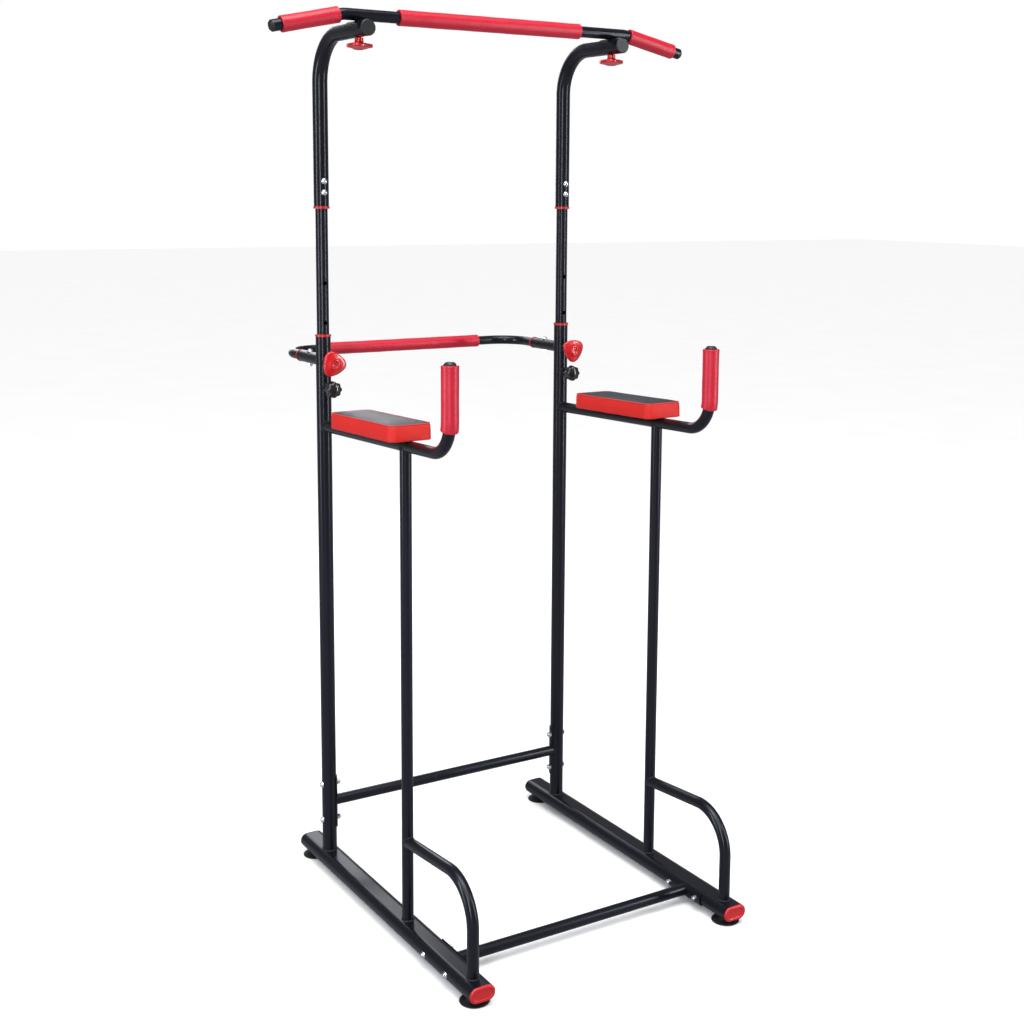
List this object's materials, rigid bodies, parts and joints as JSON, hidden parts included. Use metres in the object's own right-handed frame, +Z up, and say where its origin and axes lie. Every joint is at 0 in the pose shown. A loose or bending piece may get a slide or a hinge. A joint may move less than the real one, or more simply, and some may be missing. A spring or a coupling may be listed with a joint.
{
  "type": "power tower",
  "caption": "Free-standing power tower with height-adjustable pull-up bar, padded dip arms, push-up arches and a rear bar on suction feet",
  "frame": {"origin": "on the floor, at the middle of the footprint's bounding box", "axes": "+Z up, +X to the right from upright to upright, -Y towards the front where the dip handles and push-up arches are"},
  "size_m": [1.1678, 1.102, 2.222],
  "materials": {
    "frame_black": "satin black powder coat on steel tube",
    "foam_red": "closed-cell foam rubber, matt with a fine skin",
    "pad_vinyl": "grained vinyl, red border and black top over foam",
    "cap_red": "moulded red plastic",
    "knob_red": "glossy moulded red plastic",
    "knob_black": "glossy moulded black plastic",
    "plug_black": "moulded black plastic",
    "zinc_steel": "bright zinc plate",
    "foot_rubber": "black suction-cup rubber",
    "plywood": "raw plywood"
  },
  "bodies": {
    "frame": {"base_rail_left": "frame_black", "base_rail_right": "frame_black", "upright_left": "frame_black", "upright_right": "frame_black", "front_post_left": "frame_black", "front_post_right": "frame_black", "dip_arm_left": "frame_black", "dip_arm_right": "frame_black", "push_up_arch_left": "frame_black", "push_up_arch_right": "frame_black", "rear_crossbar": "frame_black", "front_crossbar": "frame_black", "crossbar_plates": "frame_black", "rear_bar_sleeve_left": "frame_black", "rear_bar_sleeve_right": "frame_black", "rear_bar": "frame_black", "post_bosses": "frame_black", "pad_brackets": "frame_black", "dip_grip_left": "foam_red", "dip_grip_right": "foam_red", "rear_bar_foam": "foam_red", "arm_pad_left": "pad_vinyl", "arm_pad_right": "pad_vinyl", "front_rail_cap_left": "cap_red", "front_rail_cap_right": "cap_red", "lower_collar_left": "cap_red", "lower_collar_right": "cap_red", "sleeve_rings": "cap_red", "rear_rail_caps": "plug_black", "dip_arm_plugs": "plug_black", "crossbar_bolts": "zinc_steel", "frame_nuts": "zinc_steel", "sleeve_bolts": "zinc_steel", "pad_screws": "zinc_steel", "pad_boards": "plywood"},
    "front_foot_left": {"front_foot_left": "foot_rubber"},
    "front_foot_right": {"front_foot_right": "foot_rubber"},
    "rear_foot_left": {"rear_foot_left": "foot_rubber"},
    "rear_foot_right": {"rear_foot_right": "foot_rubber"},
    "lock_pin_left": {"lock_knob_left": "knob_red", "lock_pin_left": "zinc_steel"},
    "lock_pin_right": {"lock_knob_right": "knob_red", "lock_pin_right": "zinc_steel"},
    "clamp_knob_left": {"clamp_knob_left": "knob_black"},
    "clamp_knob_right": {"clamp_knob_right": "knob_black"},
    "bar_knob_left": {"bar_knob_left": "knob_red"},
    "bar_knob_right": {"bar_knob_right": "knob_red"},
    "mast": {"mast_tube_left": "frame_black", "mast_tube_right": "frame_black", "gooseneck_left": "frame_black", "gooseneck_right": "frame_black", "upper_collars": "cap_red", "gooseneck_plugs": "plug_black", "mast_bolts": "zinc_steel", "mast_nuts": "zinc_steel", "pull_up_bar": "frame_black", "bar_saddles": "frame_black", "bar_centre_foam": "foam_red", "bar_wing_foams": "foam_red", "bar_plugs": "plug_black"}
  },
  "joints": [
    {"name": "mast_height", "type": "slide", "parent": "frame", "child": "mast", "axis": [0, 0, 1], "range_m": [-0.2, 0]},
    {"name": "lock_pin_left_push", "type": "slide", "parent": "frame", "child": "lock_pin_left", "axis": [0, 1, 0], "range_m": [0, 0.012]},
    {"name": "clamp_knob_left_turn", "type": "hinge", "parent": "frame", "child": "clamp_knob_left", "pos_m": [-0.36, 0.244, 1.298], "axis": [0, 1, 0], "continuous": true},
    {"name": "bar_knob_left_turn", "type": "hinge", "parent": "mast", "child": "bar_knob_left", "pos_m": [-0.36, 0.044, 2.151], "axis": [0, 0, 1], "continuous": true},
    {"name": "lock_pin_right_push", "type": "slide", "parent": "frame", "child": "lock_pin_right", "axis": [0, 1, 0], "range_m": [0, 0.012]},
    {"name": "clamp_knob_right_turn", "type": "hinge", "parent": "frame", "child": "clamp_knob_right", "pos_m": [0.36, 0.244, 1.298], "axis": [0, 1, 0], "continuous": true},
    {"name": "bar_knob_right_turn", "type": "hinge", "parent": "mast", "child": "bar_knob_right", "pos_m": [0.36, 0.044, 2.151], "axis": [0, 0, 1], "continuous": true},
    {"name": "front_foot_left_turn", "type": "hinge", "parent": "frame", "child": "front_foot_left", "pos_m": [-0.36, -0.511, 0], "axis": [0, 0, 1], "continuous": true},
    {"name": "front_foot_right_turn", "type": "hinge", "parent": "frame", "child": "front_foot_right", "pos_m": [0.36, -0.511, 0], "axis": [0, 0, 1], "continuous": true},
    {"name": "rear_foot_left_turn", "type": "hinge", "parent": "frame", "child": "rear_foot_left", "pos_m": [-0.36, 0.363, 0], "axis": [0, 0, 1], "continuous": true},
    {"name": "rear_foot_right_turn", "type": "hinge", "parent": "frame", "child": "rear_foot_right", "pos_m": [0.36, 0.363, 0], "axis": [0, 0, 1], "continuous": true}
  ]
}
